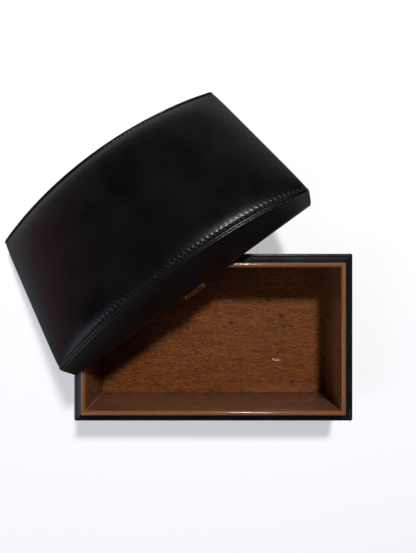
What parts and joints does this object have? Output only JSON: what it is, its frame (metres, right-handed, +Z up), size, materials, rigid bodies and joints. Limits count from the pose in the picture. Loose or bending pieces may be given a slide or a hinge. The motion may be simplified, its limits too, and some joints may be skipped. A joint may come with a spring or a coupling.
{
  "type": "stationery box",
  "caption": "Leather-covered wooden stationery box with a raised wooden lip and a loose padded domed lid leaning across it.",
  "frame": {"origin": "centre of the box's base, on the surface it stands on", "axes": "+X along the box's length, +Y from its front to its back, +Z up"},
  "size_m": [0.3966, 0.3733, 0.1394],
  "materials": {
    "black_leather": "smooth, glossy",
    "seam_ridge": "polished edges",
    "thread": "waxed",
    "lip_wood": "varnished, glossy",
    "floor_wood": "varnished, satin",
    "core_wood": "bare",
    "lid_wood": "varnished, satin",
    "padding": "soft",
    "base_cloth": "matt",
    "plate_metal": "polished"
  },
  "bodies": {
    "box": {"base_cover": "base_cloth", "base_board": "core_wood", "box_front_board": "core_wood", "box_back_board": "core_wood", "box_left_board": "core_wood", "box_right_board": "core_wood", "floor_panel": "floor_wood", "liner_front": "lip_wood", "liner_back": "lip_wood", "liner_left": "lip_wood", "liner_right": "lip_wood", "box_leather_front": "black_leather", "box_leather_back": "black_leather", "box_leather_left": "black_leather", "box_leather_right": "black_leather", "seam_front_left": "seam_ridge", "seam_front_right": "seam_ridge", "seam_back_left": "seam_ridge", "seam_back_right": "seam_ridge"},
    "lid": {"lid_front_arch": "core_wood", "lid_back_arch": "core_wood", "lid_left_board": "core_wood", "lid_right_board": "core_wood", "lid_top_board": "core_wood", "lid_padding": "padding", "lid_leather_top": "black_leather", "lid_leather_front": "black_leather", "lid_leather_back": "black_leather", "lid_seam_front": "seam_ridge", "lid_seam_back": "seam_ridge", "lid_stitches_front": "thread", "lid_stitches_back": "thread", "lid_lining_front": "lid_wood", "lid_lining_back": "lid_wood", "lid_lining_left": "lid_wood", "lid_lining_right": "lid_wood", "lid_lining_top": "lid_wood", "lid_plate": "plate_metal", "lid_plate_pins": "plate_metal"}
  },
  "joints": [
    {"name": "lid_lift", "type": "slide", "parent": "box", "child": "lid", "axis": [0, 0, 1], "range_m": [0, 0.2]}
  ]
}
